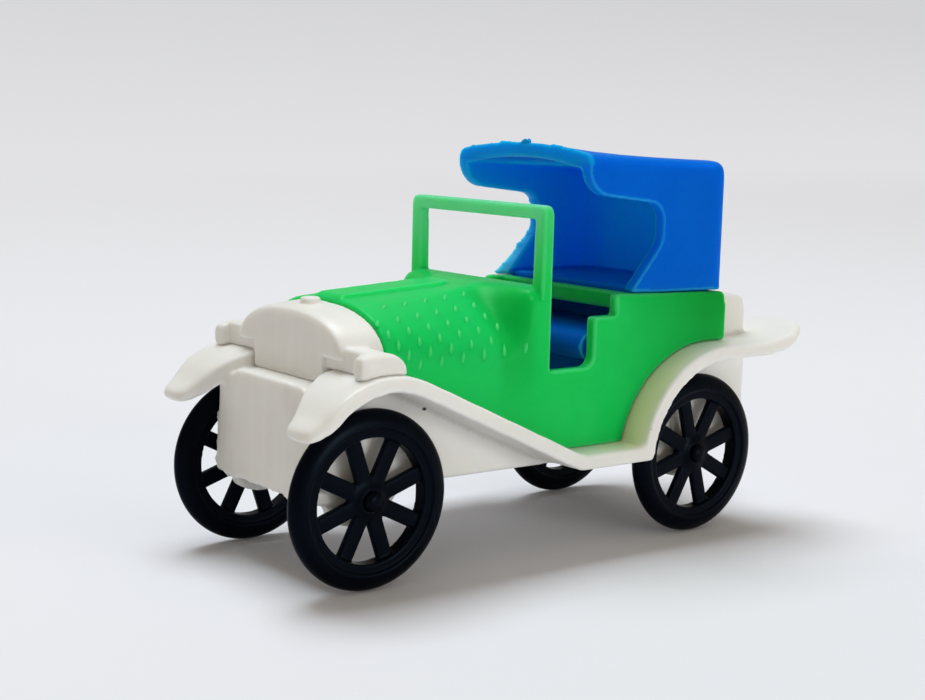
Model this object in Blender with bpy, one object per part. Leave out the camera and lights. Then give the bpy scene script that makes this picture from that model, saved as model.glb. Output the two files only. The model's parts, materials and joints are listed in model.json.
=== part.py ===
"""Miniature vintage car in moulded plastic: chassis, radiator, body, canopy, seat, axles and wheels.

The front points to -X, the car's left side to -Y, up is +Z, and the wheels stand on Z = 0.
The origin is the middle of the overall box, on the ground. Sizes are in metres.
"""
import bpy
import bmesh
from math import acos, asin, atan2, cos, hypot, pi, radians, sin, tan

MM = 0.001

# Gap between mouldings that seat on each other, and the play of the axles
SEAT_GAP = 0.2 * MM
AXLE_PLAY = 0.09 * MM
HUB_PLAY = 0.05 * MM

# Wheels and axles
WHEELBASE = 43.9 * MM
TRACK = 22.7 * MM
WHEEL_RADIUS = 9.0 * MM
WHEEL_WIDTH = 2.2 * MM
WHEEL_SIDE_GAP = 0.4 * MM
TREAD_CROWN = 1.8 * MM
TREAD_BEND = radians(20)
RIM_BAND = 1.0 * MM
RIM_STEP = 0.25 * MM
WEB = 0.8 * MM
HUB_RADIUS = 1.5 * MM
HUB_STANDOUT = 0.15 * MM
HUB_FILLET = 0.4 * MM
RIM_FILLET = 0.15 * MM
SPOKE_COUNT = 8
SPOKE_WIDTH = 1.5 * MM
FRONT_SPOKE_TURN = radians(4)
REAR_SPOKE_TURN = radians(7)
AXLE_RADIUS = 0.95 * MM
AXLE_STANDOUT = 0.35 * MM
AXLE_CHAMFER = 0.25 * MM

# Fender sheet
OVERALL_WIDTH = 30.6 * MM
FRONT_OVERHANG = 9.3 * MM
REAR_OVERHANG = 15.0 * MM
SHEET = 1.6 * MM
FRONT_TYRE_GAP = 1.9 * MM
FRONT_ARCH_RADIUS = 10.0 * MM
FRONT_ARCH_SETBACK = 0.3 * MM
TONGUE_ANGLE = radians(48)
TONGUE_TIP_ANGLE = radians(10)
TONGUE_ROOT = 3.0 * MM
TONGUE_ROOT_WIDTH = 8.3 * MM
TONGUE_TIP_WIDTH = 4.9 * MM
TONGUE_CORNER = 2.3 * MM
BOARD_DROP = 10.15 * MM
BOARD_FRONT = 24.4 * MM
REAR_TYRE_GAP = 0.6 * MM
REAR_ARCH_SETBACK = 1.3 * MM
TAIL_RISE = 2.3 * MM
TAIL_LENGTH = 8.6 * MM
TAIL_WIDTH = 9.5 * MM
TAIL_OUTER_CORNER = 3.3 * MM
TAIL_INNER_CORNER = 2.5 * MM

# Skirts, axle bearings, apron and trunk
SKIRT = 1.5 * MM
BEARING_RADIUS = 5.3 * MM
BEARING_LIFT = 2.2 * MM
CHASSIS_REAR = 9.7 * MM
SKIRT_DROP = 0.25 * MM
APRON_FRONT = 4.6 * MM
APRON_LEAN = 0.6 * MM
APRON_DROP = 1.8 * MM
APRON_BOTTOM = 8.5 * MM
APRON_WALL = 1.5 * MM
APRON_SHOULDER = 3.7 * MM
APRON_SHOULDER_DROP = 2.1 * MM
APRON_PANEL_TOP_WIDTH = 9.2 * MM
APRON_PANEL_FOOT_WIDTH = 17.4 * MM
APRON_PANEL_RAISE = 0.55 * MM
APRON_PANEL_LIP = 0.15 * MM
TRUNK_LENGTH = 5.2 * MM
TRUNK_WIDTH = 19.2 * MM
TRUNK_HEIGHT = 4.9 * MM
TRUNK_CORNER = 1.4 * MM
TRUNK_WALL = 1.5 * MM

# Radiator with its lamp bar and headlamps
RADIATOR_FRONT = 2.4 * MM
RADIATOR_LENGTH = 4.4 * MM
RADIATOR_FACE_WIDTH = 20.4 * MM
RADIATOR_BACK_WIDTH = 21.9 * MM
RADIATOR_FACE_HEIGHT = 5.1 * MM
RADIATOR_BACK_HEIGHT = 5.4 * MM
RADIATOR_EDGE = 0.7 * MM
RADIATOR_WALL = 1.4 * MM
RADIATOR_FOOT_WIDTH = 12.8 * MM
RADIATOR_FOOT = 1.5 * MM
CAP_SETBACK = 2.7 * MM
CAP_RADIUS = 0.95 * MM
CAP_HEIGHT = 0.5 * MM
BAR_SETBACK = 0.5 * MM
BAR_DEPTH = 2.4 * MM
BAR_HEIGHT = 1.9 * MM
BAR_EDGE = 0.4 * MM
LAMP_OUTSET = 2.4 * MM
LAMP_LENGTH = 5.0 * MM
LAMP_WIDTH = 1.9 * MM
LAMP_HEIGHT = 1.95 * MM
LAMP_FRONT = 2.8 * MM

# Body: bonnet, cowl, windscreen frame and tub
WALL = 1.3 * MM
BODY_WIDTH = 23.2 * MM
BONNET_LENGTH = 17.1 * MM
BONNET_SPRING = 0.3 * MM
BONNET_FRONT_HEIGHT = 5.8 * MM
BONNET_REAR_HEIGHT = 6.95 * MM
BONNET_FLAT_WIDTH = 8.4 * MM
PANEL_WIDTH = 4.4 * MM
PANEL_MARGIN = 0.4 * MM
PANEL_REAR_MARGIN = 0.4 * MM
PANEL_RAISE = 0.35 * MM
COWL_FLARE = 2.3 * MM
COWL_BLEND = 0.8 * MM
COWL_HEIGHT = 7.05 * MM
COWL_LENGTH = 2.85 * MM
COWL_SHELF = 1.8 * MM
COWL_CORNER = 0.9 * MM
SCREEN_HEIGHT = 8.35 * MM
SCREEN_TOP_BAR = 1.25 * MM
SCREEN_POST_TOP = 1.5 * MM
SCREEN_POST_FOOT = 1.6 * MM
SCREEN_CORNER = 0.9 * MM
SCREEN_FRAME = 1.25 * MM
TUB_REAR = 4.0 * MM
TUB_HEIGHT = 5.9 * MM
TUB_FALL = 0.4 * MM
TUB_CORNER = 0.7 * MM
TUB_STEP_CORNER = 0.4 * MM
DOOR_LENGTH = 6.1 * MM
DOOR_SILL = 1.7 * MM
DOOR_CORNER = 1.3 * MM
DOOR_STEP_HEIGHT = 3.6 * MM
DOOR_STEP_LENGTH = 3.1 * MM
DOOR_STEP_CORNER = 0.3 * MM
SCREEN_ROOT = 2.0 * MM
CROSSBAR_SETBACK = 1.75 * MM
CROSSBAR_HEIGHT = 1.7 * MM

# Canopy
CANOPY_WALL = 1.4 * MM
CANOPY_SIDE_INSET = 0.3 * MM
CANOPY_LENGTH = 20.5 * MM
CANOPY_INSET = 0.25 * MM
CANOPY_FRONT_RISE = 14.5 * MM
CANOPY_REAR_RISE = 13.9 * MM
CANOPY_CAMBER = 1.0 * MM
CANOPY_CORNER = 1.1 * MM
CANOPY_FALL = 0.3 * MM
VISOR_RISE = 10.6 * MM
VISOR_DROP = 1.2 * MM
VISOR_CORNER = 3.0 * MM
THROAT_DEPTH = 10.9 * MM
THROAT_RISE = 5.2 * MM
THROAT_CORNER = 2.1 * MM
THROAT_LOW_CORNER = 3.0 * MM
SIDE_LENGTH = 14.0 * MM
CANOPY_INNER_CORNER = 3.0 * MM
FLOOR_DEPTH = 1.2 * MM
FLOOR_RISE = 0.3 * MM

# Seat
SEAT_LENGTH = 11.6 * MM
SEAT_SIDE_GAP = 0.4 * MM
SEAT_HEIGHT = 1.8 * MM
SEAT_THICKNESS = 3.1 * MM
SEAT_WALL = 1.4 * MM
SEAT_BACK_RISE = 1.9 * MM
SEAT_RISER = 3.1 * MM
SEAT_DOOR_OVERLAP = 0.4 * MM

# Facets of the round shapes
WHEEL_SEGMENTS = 40
ROUND_SEGMENTS = 24

# Places that follow from the sizes above
FRONT_AXLE_X = (FRONT_OVERHANG - WHEELBASE - REAR_OVERHANG) / 2
REAR_AXLE_X = FRONT_AXLE_X + WHEELBASE
AXLE_Z = WHEEL_RADIUS
CREST_Z = 2 * WHEEL_RADIUS + FRONT_TYRE_GAP + SHEET
BOARD_Z = CREST_Z - BOARD_DROP
FRONT_ARCH = (FRONT_AXLE_X + FRONT_ARCH_SETBACK, CREST_Z - FRONT_ARCH_RADIUS)
REAR_ARCH = (REAR_AXLE_X + REAR_ARCH_SETBACK, AXLE_Z)
REAR_ARCH_RADIUS = WHEEL_RADIUS + REAR_ARCH_SETBACK + REAR_TYRE_GAP + SHEET
REAR_DECK_Z = AXLE_Z + REAR_ARCH_RADIUS
TIP_X = FRONT_AXLE_X - FRONT_OVERHANG
TAIL_X = REAR_AXLE_X + REAR_OVERHANG
HALF_AXLE = TRACK / 2 + WHEEL_WIDTH / 2 + AXLE_STANDOUT
SKIRT_OUTER = TRACK / 2 - WHEEL_WIDTH / 2 - WHEEL_SIDE_GAP - HUB_STANDOUT
SKIRT_INNER = SKIRT_OUTER - SKIRT
SKIRT_BOTTOM = BOARD_Z - SHEET - SKIRT_DROP
CHASSIS_REAR_X = REAR_AXLE_X + CHASSIS_REAR
APRON_TOP = CREST_Z - APRON_DROP
RADIATOR_FRONT_X = FRONT_AXLE_X - RADIATOR_FRONT
RADIATOR_REAR_X = RADIATOR_FRONT_X + RADIATOR_LENGTH
FOOT_REAR_X = RADIATOR_FRONT_X + RADIATOR_FOOT
BAR_X = RADIATOR_FRONT_X + BAR_SETBACK
BONNET_X = RADIATOR_REAR_X + SEAT_GAP
COWL_X = BONNET_X + BONNET_LENGTH
COWL_Z = CREST_Z + COWL_HEIGHT
SCREEN_X = COWL_X + COWL_LENGTH
TUB_REAR_X = REAR_AXLE_X + TUB_REAR
TUB_Z = CREST_Z + TUB_HEIGHT
DOOR_X = SCREEN_X + DOOR_LENGTH
DOOR_Z = CREST_Z - DOOR_SILL
CROSSBAR_X = DOOR_X + DOOR_STEP_LENGTH + CROSSBAR_SETBACK
TRUNK_X = TUB_REAR_X + SEAT_GAP
CANOPY_Z = TUB_Z + SEAT_GAP
CANOPY_REAR_X = TUB_REAR_X - CANOPY_INSET
CANOPY_X = CANOPY_REAR_X - CANOPY_LENGTH
SEAT_X = DOOR_X - SEAT_DOOR_OVERLAP
SEAT_Z = CREST_Z + SEAT_HEIGHT
BELOW = -5 * MM
ABOVE = 60 * MM
SMALL = 0.1 * MM

WHITE = (0.75, 0.72, 0.66)
GREEN = (0.02, 0.50, 0.10)
BLUE = (0.0, 0.12, 0.46)
BLACK = (0.006, 0.006, 0.008)


def arc(centre, radius, start, end, steps):
    """Points on a circle, with angles counted from straight up and positive towards the rear."""
    angles = [start + (end - start) * i / steps for i in range(steps + 1)]
    return [(centre[0] + radius * sin(a), centre[1] + radius * cos(a)) for a in angles]


def corner(point, before, after, radius, steps):
    """The arc that rounds the corner at point, between the lines to its two neighbours."""
    ax, ay = before[0] - point[0], before[1] - point[1]
    bx, by = after[0] - point[0], after[1] - point[1]
    la, lb = hypot(ax, ay), hypot(bx, by)
    ax, ay, bx, by = ax / la, ay / la, bx / lb, by / lb
    half = abs(atan2(ax * by - ay * bx, ax * bx + ay * by)) / 2
    reach = radius / tan(half)
    length = hypot(ax + bx, ay + by)
    away = radius / sin(half) / length
    centre = (point[0] + (ax + bx) * away, point[1] + (ay + by) * away)
    first = atan2(point[1] + ay * reach - centre[1], point[0] + ax * reach - centre[0])
    last = atan2(point[1] + by * reach - centre[1], point[0] + bx * reach - centre[0])
    sweep = (last - first + pi) % (2 * pi) - pi
    angles = [first + sweep * i / steps for i in range(steps + 1)]
    return [(centre[0] + radius * cos(a), centre[1] + radius * sin(a)) for a in angles]


def rounded(points, radii, steps=5):
    """A closed outline with each corner rounded by its own radius, 0 for a sharp one."""
    outline = []
    for i, (point, radius) in enumerate(zip(points, radii)):
        if radius:
            outline += corner(point, points[i - 1], points[(i + 1) % len(points)], radius, steps)
        else:
            outline.append(point)
    return outline


def deck_line(offset):
    """Side view of the line that lies offset above the top of the fender sheet, from tip to tail."""
    arch_x, arch_z = FRONT_ARCH
    turn_x = arch_x - FRONT_ARCH_RADIUS * sin(TONGUE_ANGLE)
    turn_radius = (turn_x - TIP_X) / (sin(TONGUE_ANGLE) - sin(TONGUE_TIP_ANGLE))
    reach = FRONT_ARCH_RADIUS + turn_radius
    turn = (arch_x - reach * sin(TONGUE_ANGLE), arch_z + reach * cos(TONGUE_ANGLE))
    line = arc(turn, turn_radius - offset, pi - TONGUE_TIP_ANGLE, pi - TONGUE_ANGLE, 6)
    board_x = FRONT_AXLE_X + BOARD_FRONT
    run, rise = board_x - arch_x, arch_z - BOARD_Z
    slope = asin(FRONT_ARCH_RADIUS / hypot(run, rise)) + atan2(rise, run)
    line += arc(FRONT_ARCH, FRONT_ARCH_RADIUS + offset, -TONGUE_ANGLE, slope, 14)[1:]
    line.append((board_x + offset * tan(slope / 2), BOARD_Z + offset))
    radius = REAR_ARCH_RADIUS + offset
    start = asin((BOARD_Z + offset - REAR_ARCH[1]) / radius) - pi / 2
    line += arc(REAR_ARCH, radius, start, 0, 12)
    half = atan2(TAIL_RISE, TAIL_LENGTH)
    tail_radius = TAIL_LENGTH / sin(2 * half)
    tail = (TAIL_X - TAIL_LENGTH, REAR_DECK_Z + tail_radius)
    return line + arc(tail, tail_radius - offset, pi, pi - 2 * half, 6)


def deck_height(x, offset=0.0):
    """Height at x of the line that lies offset above the fender sheet."""
    line = deck_line(offset)
    for (x0, z0), (x1, z1) in zip(line, line[1:]):
        if x0 <= x <= x1:
            return z0 + (z1 - z0) * (x - x0) / (x1 - x0)
    raise ValueError("x lies off the fender sheet")


def deck_span(offset, low, high):
    """The stretch of deck_line between two places along the car."""
    middle = [p for p in deck_line(offset) if low < p[0] < high]
    return [(low, deck_height(low, offset))] + middle + [(high, deck_height(high, offset))]


def object_from(name, bm):
    """A mesh object whose faces point outwards."""
    bmesh.ops.recalc_face_normals(bm, faces=bm.faces)
    mesh = bpy.data.meshes.new(name)
    bm.to_mesh(mesh)
    bm.free()
    thing = bpy.data.objects.new(name, mesh)
    bpy.context.collection.objects.link(thing)
    return thing


def loft(name, rings):
    """A closed solid through rings of equally many points, with a flat face at both ends."""
    bm = bmesh.new()
    rows = [[bm.verts.new(p) for p in ring] for ring in rings]
    count = len(rows[0])
    for low, high in zip(rows, rows[1:]):
        for i in range(count):
            j = (i + 1) % count
            bm.faces.new((low[i], low[j], high[j], high[i]))
    bm.faces.new(rows[0])
    bm.faces.new(rows[-1])
    return object_from(name, bm)


def prism_x(name, outline, low, high):
    return loft(name, [[(x, y, z) for y, z in outline] for x in (low, high)])


def prism_y(name, outline, low, high):
    return loft(name, [[(x, y, z) for x, z in outline] for y in (low, high)])


def prism_z(name, outline, low, high):
    return loft(name, [[(x, y, z) for x, y in outline] for z in (low, high)])


def box(name, x, y, z):
    return prism_z(name, [(x[0], y[0]), (x[1], y[0]), (x[1], y[1]), (x[0], y[1])], z[0], z[1])


def circle(centre, radius, segments):
    return [(centre[0] + radius * sin(2 * pi * i / segments), centre[1] + radius * cos(2 * pi * i / segments))
            for i in range(segments)]


def turned(name, profile, segments):
    """A ring turned about the Y axis from a closed outline of (radius, y) points."""
    bm = bmesh.new()
    rings = []
    for i in range(segments):
        a = 2 * pi * i / segments
        rings.append([bm.verts.new((r * sin(a), y, r * cos(a))) for r, y in profile])
    for here, following in zip(rings, rings[1:] + rings[:1]):
        for j in range(len(profile)):
            k = (j + 1) % len(profile)
            bm.faces.new((here[j], here[k], following[k], following[j]))
    return object_from(name, bm)


def combine(target, operation, *others):
    """Applies a Boolean with each other solid to the target, then removes that solid."""
    for other in others:
        modifier = target.modifiers.new(operation, "BOOLEAN")
        modifier.operation = operation
        modifier.object = other
        depsgraph = bpy.context.evaluated_depsgraph_get()
        mesh = bpy.data.meshes.new_from_object(target.evaluated_get(depsgraph))
        target.modifiers.clear()
        target.data = mesh
        bpy.data.objects.remove(other)
    return target


def finish(thing, name, colour, roughness, smooth_angle=30):
    """Names a piece and gives it its material and its smooth shading."""
    bm = bmesh.new()
    bm.from_mesh(thing.data)
    bmesh.ops.remove_doubles(bm, verts=bm.verts, dist=0.002 * MM)
    bmesh.ops.dissolve_limit(bm, angle_limit=radians(0.1), verts=bm.verts, edges=bm.edges)
    bm.to_mesh(thing.data)
    bm.free()
    thing.name = name
    thing.data.name = name
    material = bpy.data.materials.new(name)
    material.use_nodes = True
    shader = material.node_tree.nodes["Principled BSDF"]
    shader.inputs["Base Color"].default_value = (*colour, 1)
    shader.inputs["Roughness"].default_value = roughness
    shader.inputs["Metallic"].default_value = 0
    thing.data.materials.clear()
    thing.data.materials.append(material)
    thing.data.shade_smooth()
    thing.data.set_sharp_from_angle(angle=radians(smooth_angle))
    return thing


def fender_plan():
    """Plan of the fender sheet: two tapered front tongues, the boards and two tails, with rounded tips."""
    edge = OVERALL_WIDTH / 2
    root, tip, tail = edge - TONGUE_ROOT_WIDTH, edge - TONGUE_TIP_WIDTH, edge - TAIL_WIDTH
    deck_front, deck_rear = FOOT_REAR_X + SEAT_GAP, CHASSIS_REAR_X - SMALL
    half = [(deck_front, root), (FRONT_AXLE_X - TONGUE_ROOT, root), (TIP_X, tip), (TIP_X, edge),
            (TAIL_X, edge), (TAIL_X, tail), (deck_rear, tail)]
    radii = [0, 0, TONGUE_CORNER, TONGUE_CORNER, TAIL_OUTER_CORNER, TAIL_INNER_CORNER, 0]
    other = [(x, -y) for x, y in reversed(half)]
    return rounded(half + other, radii + radii[::-1], 6)


def skirt_outline():
    """Side view of a skirt: under the sheet, with a round bearing tab hanging at each axle."""
    low, high = FRONT_AXLE_X - APRON_FRONT + APRON_WALL / 2, CHASSIS_REAR_X - SKIRT / 2
    outline = deck_span(-SHEET / 2, low, high) + [(high, SKIRT_BOTTOM)]
    centre_z = AXLE_Z + BEARING_LIFT
    meet = acos((SKIRT_BOTTOM - centre_z) / BEARING_RADIUS)
    for axle_x in (REAR_AXLE_X, FRONT_AXLE_X):
        tab = arc((axle_x, centre_z), BEARING_RADIUS, meet, 2 * pi - meet, 12)
        outline += [p for p in tab if low < p[0] < high]
    return outline + [(low, tab[-1][1])]


def make_chassis():
    """White moulding: fenders with running boards, skirts with the axle bearings, apron and trunk."""
    edge = OVERALL_WIDTH / 2 + SHEET
    chassis = prism_y("chassis", deck_line(0) + deck_line(-SHEET)[::-1], -edge, edge)
    combine(chassis, "INTERSECT", prism_z("plan", fender_plan(), BELOW, ABOVE))

    skirt = skirt_outline()
    for y in (-SKIRT_OUTER, SKIRT_INNER):
        combine(chassis, "UNION", prism_y("skirt", skirt, y, y + SKIRT))

    top, foot = FRONT_AXLE_X - APRON_FRONT, FRONT_AXLE_X - APRON_FRONT - APRON_LEAN
    shelf_z = APRON_TOP - APRON_WALL
    apron = [(foot, APRON_BOTTOM), (top, APRON_TOP), (FOOT_REAR_X, APRON_TOP), (FOOT_REAR_X, shelf_z),
             (top + APRON_WALL, shelf_z), (foot + APRON_WALL, APRON_BOTTOM)]
    wide = SKIRT_OUTER + SMALL / 4
    neck, low_z = wide - APRON_SHOULDER, APRON_TOP - APRON_SHOULDER_DROP
    neck_z = APRON_TOP + SMALL
    front_view = [(-wide, BELOW), (wide, BELOW), (wide, low_z),
                  (neck, neck_z), (-neck, neck_z), (-wide, low_z)]
    apron = combine(prism_y("apron", apron, -edge, edge), "INTERSECT", prism_x("neck", front_view, TIP_X, 0))
    combine(chassis, "UNION", apron)
    panel = []
    for z, front, width in ((APRON_BOTTOM, foot + SMALL, APRON_PANEL_FOOT_WIDTH),
                            (APRON_TOP + APRON_PANEL_LIP, top - APRON_PANEL_RAISE, APRON_PANEL_TOP_WIDTH)):
        back, half = front + APRON_WALL, width / 2
        panel.append([(front, -half, z), (front, half, z), (back, half, z), (back, -half, z)])
    combine(chassis, "UNION", loft("panel", panel))

    rear = (CHASSIS_REAR_X - SKIRT, CHASSIS_REAR_X)
    combine(chassis, "UNION", box("rear", rear, (-wide, wide), (SKIRT_BOTTOM, REAR_DECK_Z - SHEET / 2)))
    trunk_rear, trunk_top = TRUNK_X + TRUNK_LENGTH, REAR_DECK_Z + TRUNK_HEIGHT
    lid = rounded([(TRUNK_X, REAR_DECK_Z - SHEET / 2), (TRUNK_X, trunk_top), (trunk_rear, trunk_top),
                   (trunk_rear, REAR_DECK_Z - SHEET / 2)], [0, TRUNK_CORNER / 2, TRUNK_CORNER, 0])
    half = TRUNK_WIDTH / 2
    combine(chassis, "UNION", prism_y("trunk", lid, -half, half))
    inside = half - TRUNK_WALL
    combine(chassis, "DIFFERENCE", box("hollow", (TRUNK_X + TRUNK_WALL, trunk_rear - TRUNK_WALL),
                                       (-inside, inside), (REAR_DECK_Z - 2 * SHEET, trunk_top - TRUNK_WALL)))
    for axle_x in (FRONT_AXLE_X, REAR_AXLE_X):
        bore = circle((axle_x, AXLE_Z), AXLE_RADIUS + AXLE_PLAY, ROUND_SEGMENTS)
        combine(chassis, "DIFFERENCE", prism_y("bore", bore, -edge, edge))
    return finish(chassis, "chassis", WHITE, 0.38)


def arch_ring(x, half_width, spring_z, top_z, foot_z, steps=20, power=2.35):
    """Cross-section of an arch: a superellipse above spring_z on straight sides down to foot_z."""
    ring = [(x, half_width, foot_z)]
    for i in range(steps + 1):
        c, s = cos(pi * i / steps), sin(pi * i / steps)
        y = half_width * abs(c) ** (2 / power) * (1 if c > 0 else -1)
        ring.append((x, y, spring_z + (top_z - spring_z) * abs(s) ** (2 / power)))
    return ring + [(x, -half_width, foot_z)]


def above_deck(low, high):
    """Everything above the line on which mouldings sit on the fender sheet, between two places."""
    return prism_y("above", deck_span(SEAT_GAP, low, high) + [(high, ABOVE), (low, ABOVE)], -ABOVE, ABOVE)


def make_radiator():
    """White moulding: arched shell with its foot, filler cap, lamp bar and two headlamps."""
    face, back = RADIATOR_FACE_WIDTH / 2, RADIATOR_BACK_WIDTH / 2
    face_z, back_z = CREST_Z + RADIATOR_FACE_HEIGHT, CREST_Z + RADIATOR_BACK_HEIGHT
    spring_z, foot_z = CREST_Z + SEAT_GAP, CREST_Z - 3 * SHEET
    edge = RADIATOR_EDGE
    rings = []
    for a in (0, pi / 4, pi / 2):
        inset = edge * (1 - sin(a))
        front = RADIATOR_FRONT_X + edge * (1 - cos(a))
        rings.append(arch_ring(front, face - inset, spring_z, face_z - inset, foot_z))
    rings.append(arch_ring(RADIATOR_REAR_X, back, spring_z, back_z, foot_z))
    radiator = loft("radiator", rings)

    wall, foot = RADIATOR_WALL, RADIATOR_FOOT_WIDTH / 2
    lamp_y = back + LAMP_OUTSET
    bar_z, bar_top, bar_rear = CREST_Z - SHEET, spring_z + BAR_HEIGHT, BAR_X + BAR_DEPTH
    bar = rounded([(BAR_X, bar_z), (BAR_X, bar_top), (bar_rear, bar_top), (bar_rear, bar_z)],
                  [0, BAR_EDGE, BAR_EDGE, 0], 3)
    for side in (-1, 1):
        low, high = sorted((side * foot, side * back))
        recess = box("recess", (TIP_X, BAR_X), (low, high), (foot_z, spring_z + 0.5 * BAR_HEIGHT))
        combine(radiator, "DIFFERENCE", recess)
        low, high = sorted((side * (face - wall / 2), side * lamp_y))
        combine(radiator, "UNION", prism_y("bar", bar, low, high))
        combine(radiator, "UNION", make_lamp(side * lamp_y))

    rear_x = RADIATOR_REAR_X + SEAT_GAP
    combine(radiator, "DIFFERENCE", loft("hollow", [
        arch_ring(RADIATOR_FRONT_X + wall, face - wall, spring_z, face_z - wall, foot_z - wall),
        arch_ring(rear_x, back - wall, spring_z, back_z - wall, foot_z - wall)]))
    combine(radiator, "INTERSECT", above_deck(TIP_X + wall, BONNET_X + LAMP_LENGTH))
    combine(radiator, "UNION", box("foot", (RADIATOR_FRONT_X + SMALL / 4, FOOT_REAR_X), (-foot, foot),
                                   (APRON_TOP + SEAT_GAP, bar_top)))
    cap = circle((RADIATOR_FRONT_X + CAP_SETBACK, 0), CAP_RADIUS, 16)
    combine(radiator, "UNION", prism_z("cap", cap, back_z - wall, back_z + CAP_HEIGHT))
    return finish(radiator, "radiator", WHITE, 0.38)


def make_lamp(y):
    """A headlamp block with rounded ends, a superellipse in section, that sinks below the fender line."""
    rings = []
    front = FRONT_AXLE_X - LAMP_FRONT
    tall = LAMP_HEIGHT + LAMP_WIDTH / 3
    for along, scale in ((0, 0.6), (0.03, 0.8), (0.08, 0.92), (0.16, 1), (0.66, 1), (0.83, 0.92),
                         (0.93, 0.75), (0.98, 0.52), (1, 0.3)):
        ring = []
        for i in range(16):
            c, s = cos(2 * pi * i / 16), sin(2 * pi * i / 16)
            across = LAMP_WIDTH / 2 * scale * abs(c) ** 0.7 * (1 if c > 0 else -1)
            up = tall / 2 * (scale * abs(s) ** 0.7 * (1 if s > 0 else -1) - 1)
            ring.append((front + LAMP_LENGTH * along, y + across, CREST_Z + LAMP_HEIGHT + up))
        rings.append(ring)
    return loft("lamp", rings)


def bonnet_ring(x, share, flare, inset, foot_z):
    """Cross-section of the bonnet: share 0 to 1 turns the front arch into slanted sides under a flat top,
    and flare 0 to 1 spreads that out to the cowl's block, a superellipse with small corners."""
    half = (RADIATOR_BACK_WIDTH + (BODY_WIDTH - RADIATOR_BACK_WIDTH) * share) / 2 - inset
    arch_top = CREST_Z + BONNET_FRONT_HEIGHT - inset
    flat_top = CREST_Z + BONNET_REAR_HEIGHT - inset
    spring = CREST_Z + BONNET_SPRING
    flat = BONNET_FLAT_WIDTH / 2
    count, crease = 24, 16
    side = []
    for i in range(count + 1):
        a = pi / 2 * i / count
        arch = (half * cos(a) ** 0.85, spring + (arch_top - spring) * sin(a) ** 0.85)
        if i <= crease:
            rise = i / crease
            slant = (half + (flat - half) * rise ** 1.35, spring + (flat_top - spring) * rise)
        else:
            slant = (flat * (count - i) / (count - crease), flat_top)
        y = arch[0] + (slant[0] - arch[0]) * share if i < count else 0
        z = arch[1] + (slant[1] - arch[1]) * share - foot_z
        reach = ((y / half) ** 16 + (z / (COWL_Z - foot_z)) ** 16) ** (-1 / 16)
        out = 1 + (reach - 1) * flare
        side.append((y * out, foot_z + z * out))
    ring = [(x, half, foot_z)] + [(x, y, z) for y, z in side]
    return ring + [(x, -y, z) for y, z in side[-2::-1]] + [(x, -half, foot_z)]


def bonnet_rings(inset, low, high, foot_z):
    """Cross-sections of the bonnet without its flare, inset inside the outer surface."""
    places = [low + (high - low) * i / 3 for i in range(4)]
    return [bonnet_ring(x, (x - BONNET_X) / BONNET_LENGTH, 0, inset, foot_z) for x in places]


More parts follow.
